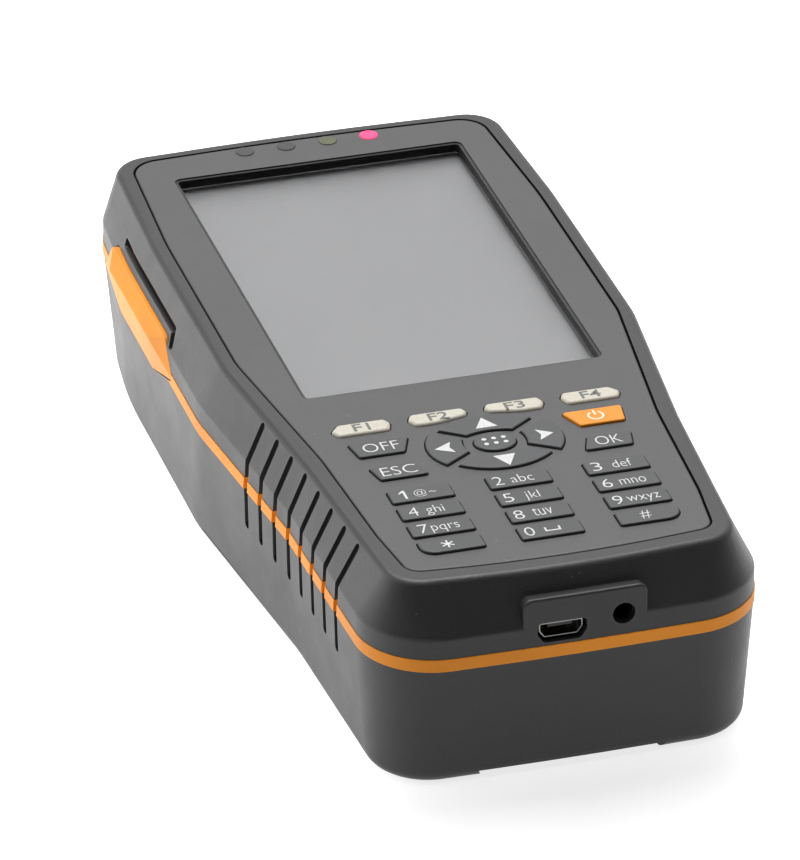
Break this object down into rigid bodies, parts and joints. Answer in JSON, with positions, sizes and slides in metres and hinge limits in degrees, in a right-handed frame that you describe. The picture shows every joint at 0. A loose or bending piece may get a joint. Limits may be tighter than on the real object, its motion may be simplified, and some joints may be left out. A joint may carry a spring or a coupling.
{
  "type": "handheld survey data collector",
  "caption": "Rugged handheld data collector: waisted dark case with orange trim, display above a keypad, side keys, and a micro-USB and jack boss at the keypad end.",
  "frame": {"origin": "middle of the underside, on the plane that the case rests on", "axes": "+Z out of the keypad face, +Y towards the display end, +X to the right when the keypad is read"},
  "size_m": [0.0834, 0.168, 0.0375],
  "materials": {
    "shell_plastic": "fine matt moulded texture",
    "panel_plastic": "smooth matt face plate",
    "orange_rubber": "soft orange overmould",
    "key_dark": "matt key cap",
    "key_cream": "cream key cap",
    "key_orange": "orange key cap",
    "black_rubber": "black lining",
    "screen_glass": "anti-glare touch glass",
    "lcd": "unlit grey display",
    "tray_metal": "pressed bright metal",
    "flex_amber": "amber flat tail",
    "connector_plastic": "black connector plastic",
    "lamp_red": "lit red light pipe",
    "lamp_green": "unlit green light pipe",
    "lamp_clear": "unlit smoked light pipe",
    "led_white": "LED body",
    "silicone": "silicone sheet",
    "dome_steel": "snap dome",
    "board_green": "solder mask",
    "cell_steel": "coin cell",
    "gold": "gold plate",
    "pack_wrap": "heat-shrink wrap",
    "screw_steel": "zinc plated"
  },
  "bodies": {
    "case": {"upper_shell": "shell_plastic", "lower_shell": "shell_plastic", "face_panel": "panel_plastic", "trim_band_front": "orange_rubber", "trim_band_rear": "orange_rubber", "display_gasket": "black_rubber", "display_glass": "screen_glass", "lcd_module": "lcd", "lcd_tray": "tray_metal", "shield_can": "tray_metal", "usb_shell": "tray_metal", "lcd_flex": "flex_amber", "flex_connector": "connector_plastic", "usb_tongue": "connector_plastic", "jack_socket": "connector_plastic", "side_switches": "connector_plastic", "sounder": "connector_plastic", "lamp_window_4": "lamp_red", "lamp_window_3": "lamp_green", "lamp_window_1": "lamp_clear", "lamp_window_2": "lamp_clear", "status_leds": "led_white", "keypad_mat": "silicone", "key_domes": "dome_steel", "main_board": "board_green", "clock_cell": "cell_steel", "usb_contacts": "gold", "battery_contacts": "gold", "antenna": "gold", "battery_pack": "pack_wrap", "case_screws": "screw_steel", "board_screws": "screw_steel"},
    "key_f1_body": {"key_f1": "key_cream"},
    "key_f2_body": {"key_f2": "key_cream"},
    "key_f3_body": {"key_f3": "key_cream"},
    "key_f4_body": {"key_f4": "key_cream"},
    "key_power_body": {"key_power": "key_orange"},
    "key_off_body": {"key_off": "key_dark"},
    "key_esc_body": {"key_esc": "key_dark"},
    "key_ok_body": {"key_ok": "key_dark"},
    "key_up_body": {"key_up": "key_dark"},
    "key_down_body": {"key_down": "key_dark"},
    "key_left_body": {"key_left": "key_dark"},
    "key_right_body": {"key_right": "key_dark"},
    "key_centre_body": {"key_centre": "key_dark"},
    "key_1_body": {"key_1": "key_dark"},
    "key_2_body": {"key_2": "key_dark"},
    "key_3_body": {"key_3": "key_dark"},
    "key_4_body": {"key_4": "key_dark"},
    "key_5_body": {"key_5": "key_dark"},
    "key_6_body": {"key_6": "key_dark"},
    "key_7_body": {"key_7": "key_dark"},
    "key_8_body": {"key_8": "key_dark"},
    "key_9_body": {"key_9": "key_dark"},
    "key_star_body": {"key_star": "key_dark"},
    "key_0_body": {"key_0": "key_dark"},
    "key_hash_body": {"key_hash": "key_dark"},
    "side_key_left_body": {"side_key_left": "orange_rubber"},
    "side_key_right_body": {"side_key_right": "orange_rubber"},
    "door": {"battery_door": "shell_plastic"}
  },
  "joints": [
    {"name": "key_f1_press", "type": "slide", "parent": "case", "child": "key_f1_body", "axis": [0, 0, -1], "range_m": [0, 0.0008], "stiffness_N_per_m": 900},
    {"name": "key_f2_press", "type": "slide", "parent": "case", "child": "key_f2_body", "axis": [0, 0, -1], "range_m": [0, 0.0008], "stiffness_N_per_m": 900},
    {"name": "key_f3_press", "type": "slide", "parent": "case", "child": "key_f3_body", "axis": [0, 0, -1], "range_m": [0, 0.0008], "stiffness_N_per_m": 900},
    {"name": "key_f4_press", "type": "slide", "parent": "case", "child": "key_f4_body", "axis": [0, 0, -1], "range_m": [0, 0.0008], "stiffness_N_per_m": 900},
    {"name": "key_power_press", "type": "slide", "parent": "case", "child": "key_power_body", "axis": [0, 0, -1], "range_m": [0, 0.0008], "stiffness_N_per_m": 900},
    {"name": "key_off_press", "type": "slide", "parent": "case", "child": "key_off_body", "axis": [0, 0, -1], "range_m": [0, 0.0008], "stiffness_N_per_m": 900},
    {"name": "key_esc_press", "type": "slide", "parent": "case", "child": "key_esc_body", "axis": [0, 0, -1], "range_m": [0, 0.0008], "stiffness_N_per_m": 900},
    {"name": "key_ok_press", "type": "slide", "parent": "case", "child": "key_ok_body", "axis": [0, 0, -1], "range_m": [0, 0.0008], "stiffness_N_per_m": 900},
    {"name": "key_up_press", "type": "slide", "parent": "case", "child": "key_up_body", "axis": [0, 0, -1], "range_m": [0, 0.0008], "stiffness_N_per_m": 900},
    {"name": "key_down_press", "type": "slide", "parent": "case", "child": "key_down_body", "axis": [0, 0, -1], "range_m": [0, 0.0008], "stiffness_N_per_m": 900},
    {"name": "key_left_press", "type": "slide", "parent": "case", "child": "key_left_body", "axis": [0, 0, -1], "range_m": [0, 0.0008], "stiffness_N_per_m": 900},
    {"name": "key_right_press", "type": "slide", "parent": "case", "child": "key_right_body", "axis": [0, 0, -1], "range_m": [0, 0.0008], "stiffness_N_per_m": 900},
    {"name": "key_centre_press", "type": "slide", "parent": "case", "child": "key_centre_body", "axis": [0, 0, -1], "range_m": [0, 0.0008], "stiffness_N_per_m": 900},
    {"name": "key_1_press", "type": "slide", "parent": "case", "child": "key_1_body", "axis": [0, 0, -1], "range_m": [0, 0.0008], "stiffness_N_per_m": 900},
    {"name": "key_2_press", "type": "slide", "parent": "case", "child": "key_2_body", "axis": [0, 0, -1], "range_m": [0, 0.0008], "stiffness_N_per_m": 900},
    {"name": "key_3_press", "type": "slide", "parent": "case", "child": "key_3_body", "axis": [0, 0, -1], "range_m": [0, 0.0008], "stiffness_N_per_m": 900},
    {"name": "key_4_press", "type": "slide", "parent": "case", "child": "key_4_body", "axis": [0, 0, -1], "range_m": [0, 0.0008], "stiffness_N_per_m": 900},
    {"name": "key_5_press", "type": "slide", "parent": "case", "child": "key_5_body", "axis": [0, 0, -1], "range_m": [0, 0.0008], "stiffness_N_per_m": 900},
    {"name": "key_6_press", "type": "slide", "parent": "case", "child": "key_6_body", "axis": [0, 0, -1], "range_m": [0, 0.0008], "stiffness_N_per_m": 900},
    {"name": "key_7_press", "type": "slide", "parent": "case", "child": "key_7_body", "axis": [0, 0, -1], "range_m": [0, 0.0008], "stiffness_N_per_m": 900},
    {"name": "key_8_press", "type": "slide", "parent": "case", "child": "key_8_body", "axis": [0, 0, -1], "range_m": [0, 0.0008], "stiffness_N_per_m": 900},
    {"name": "key_9_press", "type": "slide", "parent": "case", "child": "key_9_body", "axis": [0, 0, -1], "range_m": [0, 0.0008], "stiffness_N_per_m": 900},
    {"name": "key_star_press", "type": "slide", "parent": "case", "child": "key_star_body", "axis": [0, 0, -1], "range_m": [0, 0.0008], "stiffness_N_per_m": 900},
    {"name": "key_0_press", "type": "slide", "parent": "case", "child": "key_0_body", "axis": [0, 0, -1], "range_m": [0, 0.0008], "stiffness_N_per_m": 900},
    {"name": "key_hash_press", "type": "slide", "parent": "case", "child": "key_hash_body", "axis": [0, 0, -1], "range_m": [0, 0.0008], "stiffness_N_per_m": 900},
    {"name": "side_key_left_press", "type": "slide", "parent": "case", "child": "side_key_left_body", "axis": [1, 0, 0], "range_m": [0, 0.0008], "stiffness_N_per_m": 1500},
    {"name": "side_key_right_press", "type": "slide", "parent": "case", "child": "side_key_right_body", "axis": [-1, 0, 0], "range_m": [0, 0.0008], "stiffness_N_per_m": 1500},
    {"name": "door_slide", "type": "slide", "parent": "case", "child": "door", "axis": [0, -1, 0], "range_m": [0, 0.074]}
  ]
}
